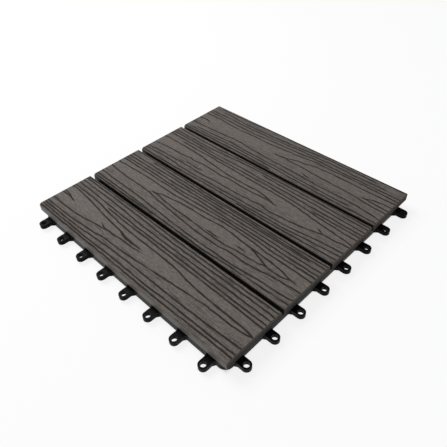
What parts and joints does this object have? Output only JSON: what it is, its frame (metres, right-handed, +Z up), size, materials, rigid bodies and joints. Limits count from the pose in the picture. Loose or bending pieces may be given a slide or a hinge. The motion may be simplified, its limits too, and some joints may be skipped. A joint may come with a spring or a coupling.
{
  "type": "interlocking deck tile",
  "caption": "Square outdoor deck tile: dark grey wood-plastic boards with embossed grain on a black plastic base that clips to its neighbours with loops and pins.",
  "frame": {"origin": "on the floor, under the middle of the four boards, which is the middle of the tile's 300 mm module", "axes": "+Z up out of the walking surface, X along the boards, loops on the -Y and +X sides, sockets with pins on the +Y and -X sides"},
  "size_m": [0.3111, 0.3096, 0.022],
  "materials": {
    "base_plastic": "satin",
    "board": "embossed",
    "screw_steel": "plain"
  },
  "bodies": {
    "root": {"base_grid": "base_plastic", "slat_1": "board", "slat_2": "board", "slat_3": "board", "slat_4": "board", "slat_screws": "screw_steel"}
  },
  "joints": []
}
